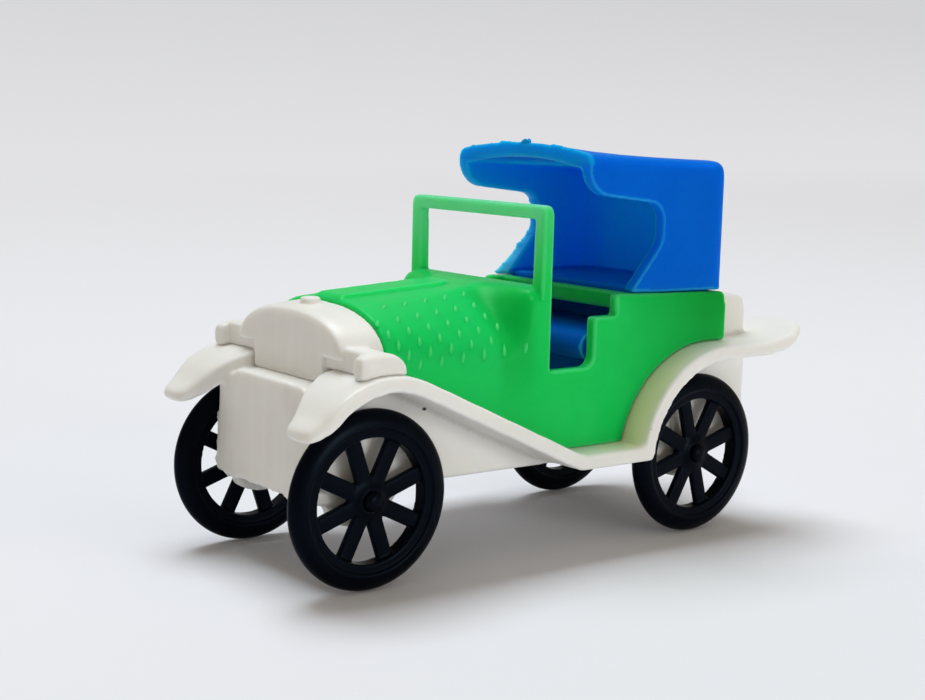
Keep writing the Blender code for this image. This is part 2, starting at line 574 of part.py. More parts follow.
def make_body():
    """Green moulding: bonnet, cowl with the windscreen frame, and the tub with its two door openings."""
    half, inner = BODY_WIDTH / 2, BODY_WIDTH / 2 - WALL
    flare_x = COWL_X - COWL_FLARE
    rings = bonnet_rings(0, BONNET_X, flare_x, BOARD_Z)
    for i in range(1, 13):
        along = i / 12
        x = flare_x + (COWL_FLARE + COWL_BLEND) * along
        share = min((x - BONNET_X) / BONNET_LENGTH, 1)
        rings.append(bonnet_ring(x, share, along * along * (3 - 2 * along), 0, BOARD_Z))
    rings.append(bonnet_ring(TUB_REAR_X + WALL, 1, 1, 0, BOARD_Z))
    body = loft("body", rings)

    panel_x, panel_rear = BONNET_X + PANEL_MARGIN, flare_x - PANEL_REAR_MARGIN
    low_z = CREST_Z + BONNET_FRONT_HEIGHT + PANEL_RAISE
    slope = (CREST_Z + BONNET_REAR_HEIGHT + PANEL_RAISE - low_z) / BONNET_LENGTH
    side = [(panel_x, low_z - WALL), (panel_rear, low_z - WALL)]
    side += [(x, low_z + slope * (x - BONNET_X)) for x in (panel_rear, panel_x)]
    end = PANEL_WIDTH / 2
    plan = rounded([(panel_x - WALL, -end), (panel_rear - SMALL, -end), (panel_rear - SMALL, end),
                    (panel_x - WALL, end)], [0, 0.9 * end, 0.9 * end, 0])
    combine(body, "UNION", combine(prism_y("panel", side, -half, half), "INTERSECT",
                                   prism_z("plan", plan, BELOW, ABOVE)))

    screen_z = COWL_Z + SCREEN_HEIGHT
    wide = half - SMALL / 5
    root_z = CREST_Z + SCREEN_ROOT
    frame = rounded([(-wide, root_z), (wide, root_z), (wide, screen_z), (-wide, screen_z)],
                    [0, 0, SCREEN_CORNER, SCREEN_CORNER])
    combine(body, "UNION", prism_x("frame", frame, SCREEN_X - SCREEN_FRAME, SCREEN_X + WALL))
    foot, head = half - SCREEN_POST_FOOT, half - SCREEN_POST_TOP
    head_z = screen_z - SCREEN_TOP_BAR
    window = [(-foot, COWL_Z), (foot, COWL_Z), (head, head_z), (-head, head_z)]
    combine(body, "DIFFERENCE", prism_x("window", window, SCREEN_X - 2 * SCREEN_FRAME, SCREEN_X + 2 * WALL))

    inside = bonnet_rings(WALL, BONNET_X - WALL, COWL_X - SEAT_GAP, BOARD_Z - WALL)
    combine(body, "DIFFERENCE", loft("hollow", inside))
    step_x, step_z = DOOR_X + DOOR_STEP_LENGTH, CREST_Z + DOOR_STEP_HEIGHT
    front_x, rear_x, shelf_z = COWL_X + WALL, TUB_REAR_X - WALL, COWL_Z - COWL_SHELF
    cabin = [(front_x, BELOW), (rear_x, BELOW), (rear_x, ABOVE),
             (DOOR_X - WALL, ABOVE), (DOOR_X - WALL, shelf_z), (front_x, shelf_z)]
    combine(body, "DIFFERENCE", prism_y("cabin", cabin, -inner, inner))
    crossbar = box("crossbar", (CROSSBAR_X, CROSSBAR_X + WALL), (-inner - SMALL, inner + SMALL),
                   (TUB_Z - CROSSBAR_HEIGHT, TUB_Z + WALL))
    combine(body, "UNION", crossbar)

    points = [(TUB_REAR_X, TUB_Z - TUB_FALL), (step_x, TUB_Z), (step_x, step_z), (DOOR_X, step_z),
              (DOOR_X, DOOR_Z), (SCREEN_X, DOOR_Z), (SCREEN_X, ABOVE), (BONNET_X - WALL, ABOVE)]
    radii = [TUB_CORNER, TUB_STEP_CORNER, DOOR_STEP_CORNER, DOOR_STEP_CORNER, DOOR_CORNER, 0, 0, 0]
    seat_line = deck_span(SEAT_GAP, BONNET_X - WALL, TUB_REAR_X)
    outline = rounded(seat_line + points, [0] * len(seat_line) + radii)
    combine(body, "INTERSECT", prism_y("outline", outline, -2 * half, 2 * half))
    return finish(body, "body", GREEN, 0.3)


def canopy_ring(x, inset, rear_inset, foot_z):
    """Cross-section of the canopy: straight sides, rounded shoulders, a roof whose camber fades rearwards."""
    along = (x - CANOPY_X) / CANOPY_LENGTH
    half = BODY_WIDTH / 2 - CANOPY_SIDE_INSET - inset - rear_inset
    rise = CANOPY_FRONT_RISE + (CANOPY_REAR_RISE - CANOPY_FRONT_RISE) * along
    shoulder = CANOPY_Z + rise - inset - rear_inset
    camber = CANOPY_CAMBER * max(1 - along, 0) ** 3
    roof = [(half * k / 4, shoulder + camber * (1 - (k / 4) ** 2)) for k in range(4, -5, -1)]
    radius = CANOPY_CORNER - 0.5 * inset
    radii = [0, 0, radius] + [0] * (len(roof) - 2) + [radius]
    outline = rounded([(-half, foot_z), (half, foot_z)] + roof, radii, 4)
    return [(x, y, z) for y, z in outline]


def canopy_side():
    """Side view of the canopy: visor, throat of the side opening, and the foot on the tub."""
    visor_z, throat_x = CANOPY_Z + VISOR_RISE, CANOPY_X + THROAT_DEPTH
    points = [(CANOPY_X, ABOVE), (CANOPY_X, visor_z), (throat_x, visor_z - VISOR_DROP),
              (throat_x, CANOPY_Z + THROAT_RISE), (CANOPY_REAR_X - SIDE_LENGTH, CANOPY_Z),
              (CANOPY_REAR_X + SHEET, CANOPY_Z - CANOPY_FALL), (CANOPY_REAR_X + SHEET, ABOVE)]
    return rounded(points, [0, VISOR_CORNER, THROAT_CORNER, THROAT_LOW_CORNER, 0, 0, 0], 6)


def make_canopy():
    """Blue moulding: folding-top shape with a visor, open in front, with a floor that plugs into the tub."""
    radius = CANOPY_CORNER
    foot_z = CANOPY_Z - CANOPY_WALL
    bend_x, hollow_rear = CANOPY_REAR_X - radius, CANOPY_REAR_X - CANOPY_WALL
    rings = [canopy_ring(CANOPY_X + (bend_x - CANOPY_X) * i / 5, 0, 0, foot_z) for i in range(5)]
    for i in range(5):
        a = pi / 2 * i / 4
        rings.append(canopy_ring(bend_x + radius * sin(a), 0, 0.8 * radius * (1 - cos(a)), foot_z))
    canopy = loft("canopy", rings)
    soft = CANOPY_INNER_CORNER
    soft_x = hollow_rear - soft
    places = [CANOPY_X - CANOPY_WALL] + [CANOPY_X + (soft_x - CANOPY_X) * i / 3 for i in range(1, 3)]
    low_z = foot_z - CANOPY_WALL
    inside = [canopy_ring(x, CANOPY_WALL, 0, low_z) for x in places]
    for i in range(7):
        a = pi / 2 * i / 6
        inside.append(canopy_ring(soft_x + soft * sin(a), CANOPY_WALL, soft * (1 - cos(a)), low_z))
    combine(canopy, "DIFFERENCE", loft("hollow", inside))
    combine(canopy, "INTERSECT", prism_y("side", canopy_side(), -ABOVE, ABOVE))
    outer = BODY_WIDTH / 2 - WALL - SEAT_GAP
    floor = box("floor", (CROSSBAR_X + WALL + SEAT_GAP, TUB_REAR_X - WALL - SEAT_GAP), (-outer, outer),
                (CANOPY_Z - FLOOR_DEPTH, CANOPY_Z + FLOOR_RISE))
    combine(canopy, "UNION", floor)
    return finish(canopy, "canopy", BLUE, 0.35)


def make_seat():
    """Blue moulding: one bent sheet with a riser, a round-nosed cushion and a low back."""
    rear_x = SEAT_X + SEAT_LENGTH
    under_z = SEAT_Z - SEAT_THICKNESS
    riser_x = SEAT_X + SEAT_RISER
    floor_z = max(deck_height(x, SEAT_GAP) for x in (riser_x, riser_x + SEAT_WALL))
    back_z = SEAT_Z + SEAT_BACK_RISE
    nose = SEAT_THICKNESS / 2
    outline = [(riser_x, floor_z), (riser_x, under_z)]
    outline += arc((SEAT_X + nose, under_z + nose), nose, pi, 2 * pi, 10)
    outline += [(rear_x - SEAT_WALL, SEAT_Z)]
    outline += arc((rear_x - SEAT_WALL / 2, back_z - SEAT_WALL / 2), SEAT_WALL / 2, -pi / 2, pi / 2, 8)
    rest_z = deck_height(rear_x, SEAT_GAP) + SMALL
    inner_z = SEAT_Z - SEAT_WALL
    outline += [(rear_x, rest_z), (rear_x - SEAT_WALL, rest_z), (rear_x - SEAT_WALL, inner_z),
                (riser_x + SEAT_WALL, inner_z), (riser_x + SEAT_WALL, floor_z)]
    half = BODY_WIDTH / 2 - WALL - SEAT_SIDE_GAP
    return finish(prism_y("seat", outline, -half, half), "seat", BLUE, 0.35)


def make_axle(name, centre):
    """Black rod across the car with chamfered ends, on its own axis."""
    rings = []
    for y, radius in ((-HALF_AXLE, AXLE_RADIUS - AXLE_CHAMFER), (AXLE_CHAMFER - HALF_AXLE, AXLE_RADIUS),
                      (HALF_AXLE - AXLE_CHAMFER, AXLE_RADIUS), (HALF_AXLE, AXLE_RADIUS - AXLE_CHAMFER)):
        rings.append([(x, y, z) for x, z in circle((0, 0), radius, ROUND_SEGMENTS)])
    axle = finish(loft(name, rings), name, BLACK, 0.4)
    axle.parent = centre
    return axle


def make_wheel(name, side, spoke_turn, centre):
    """Black wheel with a rounded tread, a stepped rim and eight spokes, centred on its axle."""
    bore = AXLE_RADIUS + HUB_PLAY
    half, web = WHEEL_WIDTH / 2, WEB / 2
    hub = half + HUB_STANDOUT
    shoulder = WHEEL_RADIUS - TREAD_CROWN
    rim = shoulder - RIM_BAND
    face = [(bore, -hub), (HUB_RADIUS, -hub), (HUB_RADIUS, -web), (rim, -web), (rim, RIM_STEP - half),
            (shoulder, RIM_STEP - half), (shoulder, -half)]
    bends = [-TREAD_BEND * (3 - i) for i in range(3)]
    tread = [(shoulder + TREAD_CROWN * cos(a) / cos(bends[-1]), half * sin(a)) for a in bends]
    profile = face + tread
    profile += [(r, -y) for r, y in reversed(profile)]
    wheel = turned(name, profile, WHEEL_SEGMENTS)
    outer = rim - RIM_FILLET
    edge = pi / SPOKE_COUNT
    inner = max(HUB_RADIUS + HUB_FILLET, SPOKE_WIDTH / 2 / sin(edge) + HUB_FILLET / 2)
    spread, narrow = (edge - asin(SPOKE_WIDTH / 2 / r) for r in (outer, inner))
    for i in range(SPOKE_COUNT):
        turn = 2 * pi * i / SPOKE_COUNT + spoke_turn
        hole = arc((0, 0), inner, turn + narrow, turn - narrow, 1)
        hole += arc((0, 0), outer, turn - spread, turn + spread, 5)
        combine(wheel, "DIFFERENCE", prism_y("hole", hole, -hub, hub))
    wheel = finish(wheel, name, BLACK, 0.4)
    wheel.location = (0, side * TRACK / 2, 0)
    wheel.parent = centre
    return wheel


def axle_centre(name, x):
    """An empty on an axle's axis that carries the axle and its two wheels."""
    centre = bpy.data.objects.new(name, None)
    centre.location = (x, 0, AXLE_Z)
    centre.empty_display_size = WHEEL_RADIUS
    bpy.context.collection.objects.link(centre)
    return centre


for thing in list(bpy.data.objects):
    bpy.data.objects.remove(thing)

make_chassis()
make_radiator()
make_body()
make_canopy()
make_seat()
for end, x, turn in (("front", FRONT_AXLE_X, FRONT_SPOKE_TURN), ("rear", REAR_AXLE_X, REAR_SPOKE_TURN)):
    centre = axle_centre(end + "_axle_centre", x)
    make_axle(end + "_axle", centre)
    make_wheel(end + "_left_wheel", -1, turn, centre)
    make_wheel(end + "_right_wheel", 1, turn, centre)
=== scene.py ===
import json
from math import cos, pi, radians, sin
import bpy
import numpy as np
from mathutils import Matrix, Vector
from mathutils.bvhtree import BVHTree


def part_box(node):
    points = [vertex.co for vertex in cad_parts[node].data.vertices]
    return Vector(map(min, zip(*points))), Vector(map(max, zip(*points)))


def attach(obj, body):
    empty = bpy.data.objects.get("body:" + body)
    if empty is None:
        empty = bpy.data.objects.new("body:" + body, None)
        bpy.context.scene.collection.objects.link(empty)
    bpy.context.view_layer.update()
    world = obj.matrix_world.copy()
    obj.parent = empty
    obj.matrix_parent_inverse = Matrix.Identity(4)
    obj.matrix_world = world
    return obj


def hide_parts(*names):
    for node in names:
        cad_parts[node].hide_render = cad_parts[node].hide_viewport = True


mm = 0.001
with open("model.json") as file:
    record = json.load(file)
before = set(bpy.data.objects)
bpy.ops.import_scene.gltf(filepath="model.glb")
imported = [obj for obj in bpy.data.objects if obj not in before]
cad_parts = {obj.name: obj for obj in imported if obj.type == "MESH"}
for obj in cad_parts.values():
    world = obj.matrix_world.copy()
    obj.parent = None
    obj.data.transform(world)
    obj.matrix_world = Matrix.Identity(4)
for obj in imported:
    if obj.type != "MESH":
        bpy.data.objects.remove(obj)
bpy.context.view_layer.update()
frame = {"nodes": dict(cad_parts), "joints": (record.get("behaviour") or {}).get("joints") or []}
scene = bpy.context.scene
frontAxle, rearAxle = (joint["pos_m"] for joint in frame["joints"])
print("stage 1: frame loaded")

# Camera: solved from the wheel outlines, for an image of 925 by 700; place and target are from the front axle
view = {"imageWidth": 925, "focalPixels": 1593.4, "sensor": 36.0, "clip": 0.01, "roll": radians(1.495),
        "place": (-84.06 * mm, -135.33 * mm, 45.52 * mm), "target": (19.67 * mm, 0, 20.75 * mm)}


def makeCamera():
    # looks from place to target, then turns about its own axis by roll
    axle = Vector((frontAxle[0], 0, 0))
    place, target = Vector(view["place"]) + axle, Vector(view["target"]) + axle
    back = (place - target).normalized()
    right = Vector((0, 0, 1)).cross(back).normalized()
    up = back.cross(right)
    c, s = cos(view["roll"]), sin(view["roll"])
    data = bpy.data.cameras.new("camera")
    data.sensor_fit = "HORIZONTAL"
    data.sensor_width = view["sensor"]
    data.lens = view["focalPixels"] / view["imageWidth"] * view["sensor"]
    data.clip_start = view["clip"]
    camera = bpy.data.objects.new("camera", data)
    camera.matrix_world = Matrix((c * right + s * up, c * up - s * right, back)).transposed().to_4x4()
    camera.matrix_world.translation = place
    scene.collection.objects.link(camera)
    scene.camera = camera


# Meshes from arrays

def pieceFrom(name, points, faces):
    mesh = bpy.data.meshes.new(name)
    mesh.from_pydata(points.tolist(), [], faces.tolist())
    piece = bpy.data.objects.new(name, mesh)
    scene.collection.objects.link(piece)
    return piece


def nodeArrays(node):
    # the node's triangles, with corners at one place welded into one point
    mesh = frame["nodes"][node].data
    points = np.empty(len(mesh.vertices) * 3, np.float32)
    mesh.vertices.foreach_get("co", points)
    mesh.calc_loop_triangles()
    corners = np.empty(len(mesh.loop_triangles) * 3, np.int32)
    mesh.loop_triangles.foreach_get("vertices", corners)
    welded, back = np.unique(points.reshape(-1, 3), axis=0, return_inverse=True)
    faces = back.reshape(-1)[corners].reshape(-1, 3)
    whole = (faces != np.roll(faces, 1, axis=1)).all(axis=1)
    return welded, faces[whole]


def gridFaces(rows, columns):
    # triangles of a grid that closes along its columns, numbered row by row
    i, j = np.meshgrid(np.arange(rows - 1), np.arange(columns), indexing="ij")
    k = (j + 1) % columns
    a, b, c, d = i * columns + j, i * columns + k, (i + 1) * columns + k, (i + 1) * columns + j
    return np.concatenate([np.stack([a, b, c], -1).reshape(-1, 3), np.stack([a, c, d], -1).reshape(-1, 3)])


def closedTube(rings):
    # rings of points as one shell: the grid between them and a fan on the first and last ring, faces outwards
    rows, columns = rings.shape[:2]
    k = np.arange(1, columns - 1)
    fan = np.stack([0 * k, k + 1, k], -1)
    ends = np.concatenate([fan, fan[:, ::-1] + (rows - 1) * columns])
    return outward(rings.reshape(-1, 3), np.concatenate([gridFaces(rows, columns), ends]))


def outward(points, faces):
    # turns the faces round if the shell's signed volume is negative
    a, b, c = (points[faces[:, k]] for k in range(3))
    return points, faces if (np.cross(a, b) * c).sum() > 0 else faces[:, ::-1]


def turned(profile, segments):
    # a closed ring: the (radius, y) profile carried round the y axis, point = (r sin a, y, r cos a)
    radius, y = np.asarray(profile, float).T
    angle = 2 * pi * np.arange(segments + 1) / segments
    points = np.stack([np.outer(np.sin(angle), radius), np.tile(y, (segments + 1, 1)),
                       np.outer(np.cos(angle), radius)], -1)[:-1].reshape(-1, 3)
    return outward(points, gridFaces(segments + 1, len(radius)) % len(points))


def signedPower(values, power):
    # the size of each value to the power, with the value's sign
    return np.sign(values) * np.abs(values) ** power


def superTube(start, end, across, thick, power, stations, sides):
    # a straight bar from start to end whose section is a superellipse: signed powers of cosine and sine
    start, end = np.asarray(start, float), np.asarray(end, float)
    angle = 2 * pi * np.arange(sides) / sides
    ringX, ringZ = signedPower(np.cos(angle), 2 / power), signedPower(np.sin(angle), 2 / power)
    direction = (end - start) / np.linalg.norm(end - start)
    side = np.cross(direction, (0, 1, 0))
    middle = start + np.outer(np.linspace(0, 1, stations), end - start)
    ring = np.outer(ringX * across / 2, side) + np.outer(ringZ * thick / 2, (0, 1, 0))
    return closedTube(middle[:, None] + ring[None])


def joined(parts):
    # several shells as one pair of arrays
    counts = np.cumsum([0] + [len(points) for points, faces in parts])
    return (np.concatenate([points for points, faces in parts]),
            np.concatenate([faces + first for (points, faces), first in zip(parts, counts)]))


def moulded(piece, voxel, passes, swell=0.0, settle=0.0, rounding=None):
    # one skin: voxels fuse the shells, then each pass moves every point half-way to its neighbours' mean;
    # swell moves the points out along their normals, against what the passes take off;
    # settle moves undersides down
    skin = piece.modifiers.new("skin", "REMESH")
    skin.mode = "VOXEL"
    skin.voxel_size = voxel
    soft = piece.modifiers.new("soft", "SMOOTH")
    soft.factor = 0.5
    soft.iterations = passes
    mesh = bpy.data.meshes.new_from_object(piece.evaluated_get(bpy.context.evaluated_depsgraph_get()))
    piece.modifiers.clear()
    old, piece.data = piece.data, mesh
    bpy.data.meshes.remove(old)
    mesh.name = piece.name
    mesh.shade_smooth()
    points, normals = vertexArrays(mesh)
    points = points + swell * normals
    points[:, 2] -= settle * np.clip(-normals[:, 2], 0, 1)
    points = flatter(mesh, points, normals)
    if rounding:
        points = rounder(mesh, points, **rounding)
    for axle in (frontAxle, rearAxle):
        points = clearBore(points, axle)
    mesh.vertices.foreach_set("co", points.ravel())
    mesh.update()
    fields(mesh, points, normals, voxel)
    return piece


def neighbourMean(mesh):
    # gives the function that takes a value per point and returns the mean over each point's neighbours
    count = len(mesh.vertices)
    edges = np.empty(len(mesh.edges) * 2, np.int32)
    mesh.edges.foreach_get("vertices", edges)
    a, b = edges.reshape(-1, 2).T
    degree = np.maximum(np.bincount(a, minlength=count) + np.bincount(b, minlength=count), 1)
    return lambda values: (np.bincount(a, values[b], count) + np.bincount(b, values[a], count)) / degree


def settled(mesh, points, weight, passes):
    # each pass moves a point towards its neighbours' mean by half its weight
    mean = neighbourMean(mesh)
    for i in range(passes):
        moved = np.stack([mean(points[:, k]) for k in range(3)], -1)
        points = points + 0.5 * weight[:, None] * (moved - points)
    return points


def flatter(mesh, points, normals, passes=24, flat=0.985, blend=0.01):
    # more passes where a point's normal agrees with its neighbours', so that the voxels' steps leave no ripple
    mean = neighbourMean(mesh)
    agree = sum(mean(normals[:, k]) * normals[:, k] for k in range(3))
    return settled(mesh, points, np.clip((agree - flat) / blend, 0, 1), passes)


def rounder(mesh, points, reach, blend, passes):
    # more passes near both ends of the piece, so that the sheet's ends become bull-nosed
    x = points[:, 0]
    inwards = np.minimum(x - x.min(), x.max() - x)
    return settled(mesh, points, np.clip((reach - inwards) / blend, 0, 1), passes)


def vertexArrays(mesh):
    # places and normals of the points
    points, normals = np.empty(len(mesh.vertices) * 3), np.empty(len(mesh.vertices) * 3)
    mesh.vertices.foreach_get("co", points)
    mesh.vertices.foreach_get("normal", normals)
    return points.reshape(-1, 3), normals.reshape(-1, 3)


def facing(component):
    # 1 where a normal's component is over a third, fading to 0 at none
    return np.clip(3 * component, 0, 1)


def standOut(mesh, points, x, y, z):
    # moves the points by x, y and z
    mesh.vertices.foreach_set("co", (points + np.stack([x, y, z], -1)).ravel())
    mesh.update()


def clearBore(points, axle, radius=1.04 * mm, reach=10.0 * mm):
    # points between the skirts that lie closer to an axle than radius are moved out to it
    away = points[:, ::2] - (axle[0], axle[2])
    distance = np.maximum(np.linalg.norm(away, axis=1), 1e-9)
    near = (distance < radius) & (np.abs(points[:, 1]) < reach)
    points[near, ::2] = (axle[0], axle[2]) + away[near] * (radius / distance[near])[:, None]
    return points


def fields(mesh, points, normals, voxel, share=0.1, forwards=0.6, blend=0.3):
    # attribute "edge": how far a point stands out of its neighbours' mean along its normal, averaged with theirs,
    # 1 for a share of the voxel; attribute "front": 1 where the surface faces forwards
    mean = neighbourMean(mesh)
    out = sum((points[:, k] - mean(points[:, k])) * normals[:, k] for k in range(3))
    out = (out + mean(out)) / 2
    addField(mesh, "edge", np.clip(out / (share * voxel), -1, 1))
    addField(mesh, "front", np.clip((-normals[:, 0] - forwards) / blend, 0, 1))


def addField(mesh, name, values):
    mesh.attributes.new(name, "FLOAT", "POINT")
    writeField(mesh, name, values)


def writeField(mesh, name, values):
    mesh.attributes[name].data.foreach_set("value", values.astype(np.float32))


def readField(mesh, name):
    values = np.empty(len(mesh.vertices), np.float32)
    mesh.attributes[name].data.foreach_get("value", values)
    return values


def dress(piece, material, body, slot, *nodes):
    # the piece's material, the body it rides on, and the nodes that it stands in for; slot is not used
    piece.data.materials.clear()
    piece.data.materials.append(material)
    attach(piece, body)
    if nodes:
        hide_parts(*nodes)
    return piece


# Shader groups shared by the plastics: noise scales per metre, shares of the finer noise, and ranges; the rim and
# corner ranges set where edges get a painted highlight and corners painted shade
pigmentAndEdgeLight = {"broad": 130, "fine": 620, "fineShare": 0.35, "cloud": (0.45, 0.9), "rim": (0.3, 1.0),
           "corner": (-0.4, -1.0), "cornerAmount": 0.6}
mould = {"ripple": 900, "sand": 5200, "sandShare": 0.25, "rub": 260, "noiseMask": (0.45, 0.75), "matt": 0.95}


def newGroup(name, inputs, outputs):
    tree = bpy.data.node_groups.new(name, "ShaderNodeTree")
    for socketName, kind, value in inputs:
        socket = tree.interface.new_socket(name=socketName, in_out="INPUT", socket_type="NodeSocket" + kind)
        socket.default_value = value
    for socketName, kind in outputs:
        tree.interface.new_socket(name=socketName, in_out="OUTPUT", socket_type="NodeSocket" + kind)
    return tree, tree.nodes.new("NodeGroupInput"), tree.nodes.new("NodeGroupOutput")


def noise(tree, vector, scale, detail=2.0, stretch=None):
    node = tree.nodes.new("ShaderNodeTexNoise")
    node.inputs["Scale"].default_value = scale
    node.inputs["Detail"].default_value = detail
    if stretch:
        mapping = tree.nodes.new("ShaderNodeMapping")
        mapping.inputs["Scale"].default_value = stretch
        tree.links.new(vector, mapping.inputs["Vector"])
        vector = mapping.outputs["Vector"]
    tree.links.new(vector, node.inputs["Vector"])
    return node.outputs["Fac"]


def ranged(tree, value, low, high, toLow=0.0, toHigh=1.0):
    # carries low to toLow and high to toHigh, clamped
    node = tree.nodes.new("ShaderNodeMapRange")
    for socket, number in zip(("From Min", "From Max", "To Min", "To Max"), (low, high, toLow, toHigh)):
        node.inputs[socket].default_value = number
    tree.links.new(value, node.inputs["Value"])
    return node.outputs["Result"]


def calc(tree, operation, a, b):
    node = tree.nodes.new("ShaderNodeMath")
    node.operation = operation
    for socket, value in zip(node.inputs, (a, b)):
        if isinstance(value, (int, float)):
            socket.default_value = value
        else:
            tree.links.new(value, socket)
    return node.outputs["Value"]


def mixed(tree, factor, a, b):
    node = tree.nodes.new("ShaderNodeMix")
    node.data_type = "RGBA"
    for socket, value in zip((node.inputs["Factor"], node.inputs["A"], node.inputs["B"]), (factor, a, b)):
        if isinstance(value, (tuple, int, float)):
            socket.default_value = value
        else:
            tree.links.new(value, socket)
    return node.outputs["Result"]


def makeToneGroup():
    # colour of a moulding: cloudy colour in the plastic, a painted highlight on thin edges and painted shade in
    # corners
    tree, inside, outside = newGroup("plasticTone", [
        ("Base", "Color", (0.8, 0.8, 0.8, 1)), ("Cloud", "Color", (0.7, 0.7, 0.7, 1)),
        ("Rim", "Color", (0.9, 0.9, 0.9, 1)), ("Corner", "Color", (0.5, 0.5, 0.5, 1)),
        ("Edge", "Float", 0.0), ("Cloud Amount", "Float", 0.5), ("Rim Amount", "Float", 0.5)],
        [("Color", "Color")])
    place = tree.nodes.new("ShaderNodeTexCoord").outputs["Object"]
    broad, fine = noise(tree, place, pigmentAndEdgeLight["broad"], 3), noise(tree, place, pigmentAndEdgeLight["fine"], 2)
    both = calc(tree, "ADD", broad, calc(tree, "MULTIPLY", fine, pigmentAndEdgeLight["fineShare"]))
    cloud = ranged(tree, both, *pigmentAndEdgeLight["cloud"])
    colour = mixed(tree, calc(tree, "MULTIPLY", cloud, inside.outputs["Cloud Amount"]),
                   inside.outputs["Base"], inside.outputs["Cloud"])
    edge = inside.outputs["Edge"]
    # painted highlight on the convex edges
    rim = calc(tree, "MULTIPLY", ranged(tree, edge, *pigmentAndEdgeLight["rim"]), inside.outputs["Rim Amount"])
    colour = mixed(tree, rim, colour, inside.outputs["Rim"])
    # painted shade in the concave corners
    corner = calc(tree, "MULTIPLY", ranged(tree, edge, *pigmentAndEdgeLight["corner"]), pigmentAndEdgeLight["cornerAmount"])
    tree.links.new(mixed(tree, corner, colour, inside.outputs["Corner"]), outside.inputs["Color"])
    return tree


def makeSkinGroup():
    # gloss and relief of a moulding: a fine ripple from the mould, rubbed patches and matt hollows
    tree, inside, outside = newGroup("plasticSkin", [
        ("Gloss", "Float", 0.35), ("Rub", "Float", 0.15), ("Matt", "Float", 0.0)],
        [("Roughness", "Float"), ("Height", "Float")])
    place = tree.nodes.new("ShaderNodeTexCoord").outputs["Object"]
    ripple, sand = noise(tree, place, mould["ripple"], 2), noise(tree, place, mould["sand"], 1)
    noiseMask = ranged(tree, noise(tree, place, mould["rub"], 4), *mould["noiseMask"])
    rough = calc(tree, "ADD", inside.outputs["Gloss"], calc(tree, "MULTIPLY", noiseMask, inside.outputs["Rub"]))
    rough = calc(tree, "MAXIMUM", rough, calc(tree, "MULTIPLY", inside.outputs["Matt"], mould["matt"]))
    tree.links.new(rough, outside.inputs["Roughness"])
    height = calc(tree, "ADD", ripple, calc(tree, "MULTIPLY", sand, mould["sandShare"]))
    tree.links.new(height, outside.inputs["Height"])
    return tree


def plastic(name, look, finish=None):
    # a moulded plastic: tone and skin groups on one Principled shader, with some light passing under the surface
    material = bpy.data.materials.new(name)
    material.use_nodes = True
    tree = material.node_tree
    shader = tree.nodes["Principled BSDF"]
    shader.inputs["Subsurface Weight"].default_value = look["glow"]
    shader.inputs["Subsurface Scale"].default_value = look["glowDepth"]
    shader.inputs["Subsurface Radius"].default_value = look["glowColour"]
    shader.inputs["IOR"].default_value = plasticIndex
    shader.inputs["Specular IOR Level"].default_value = look["shine"]
    shader.inputs["Specular Tint"].default_value = (*look["shineTint"], 1)
    tone, skin = tree.nodes.new("ShaderNodeGroup"), tree.nodes.new("ShaderNodeGroup")
    tone.node_tree, skin.node_tree = toneGroup, skinGroup
    for socket in ("Base", "Cloud", "Rim", "Corner"):
        tone.inputs[socket].default_value = (*look[socket.lower()], 1)
    tone.inputs["Cloud Amount"].default_value = look["cloudAmount"]
    tone.inputs["Rim Amount"].default_value = look["rimAmount"]
    skin.inputs["Gloss"].default_value = look["gloss"]
    skin.inputs["Rub"].default_value = look["rub"]
    tree.links.new(attribute(tree, "edge"), tone.inputs["Edge"])
    tree.links.new(attribute(tree, "hollow"), skin.inputs["Matt"])
    colour = tone.outputs["Color"]
    if finish:
        colour = finish(tree, colour)
    tree.links.new(colour, shader.inputs["Base Color"])
    tree.links.new(skin.outputs["Roughness"], shader.inputs["Roughness"])
    bump = tree.nodes.new("ShaderNodeBump")
    bump.inputs["Strength"].default_value = look["relief"]
    bump.inputs["Distance"].default_value = reliefDepth
    tree.links.new(skin.outputs["Height"], bump.inputs["Height"])
    tree.links.new(bump.outputs["Normal"], shader.inputs["Normal"])
    return material


toneGroup, skinGroup = makeToneGroup(), makeSkinGroup()
plasticIndex, reliefDepth = 1.5, 0.02 * mm

# in each look, rim is the colour of the painted highlight on edges and corner the colour of the painted shade in
# corners
whiteLook = {"base": (0.86, 0.855, 0.825), "cloud": (0.79, 0.775, 0.72), "rim": (0.9, 0.895, 0.875),
             "corner": (0.6, 0.565, 0.48), "cloudAmount": 0.5, "rimAmount": 0.5, "gloss": 0.36, "rub": 0.16,
             "relief": 0.35, "shine": 0.35, "shineTint": (1.0, 1.0, 1.0),
             "glow": 0.4, "glowDepth": 1.2 * mm, "glowColour": (1.0, 0.9, 0.72)}
greenLook = {"base": (0.004, 0.6, 0.1), "cloud": (0.02, 0.66, 0.14), "rim": (0.09, 0.74, 0.25),
             "corner": (0.0, 0.36, 0.04), "cloudAmount": 0.6, "rimAmount": 0.6, "gloss": 0.34, "rub": 0.14,
             "relief": 0.35, "shine": 0.13, "shineTint": (0.25, 1.0, 0.55),
             "glow": 0.8, "glowDepth": 2.4 * mm, "glowColour": (0.4, 1.0, 0.5)}
blueLook = {"base": (0.0005, 0.125, 0.64), "cloud": (0.001, 0.15, 0.7), "rim": (0.03, 0.4, 0.86),
            "corner": (0.0, 0.07, 0.42), "cloudAmount": 0.6, "rimAmount": 0.75, "gloss": 0.36, "rub": 0.05,
            "relief": 0.35, "shine": 0.03, "shineTint": (0.05, 0.6, 1.0),
            "glow": 0.95, "glowDepth": 3.5 * mm, "glowColour": (0.3, 0.7, 1.0)}
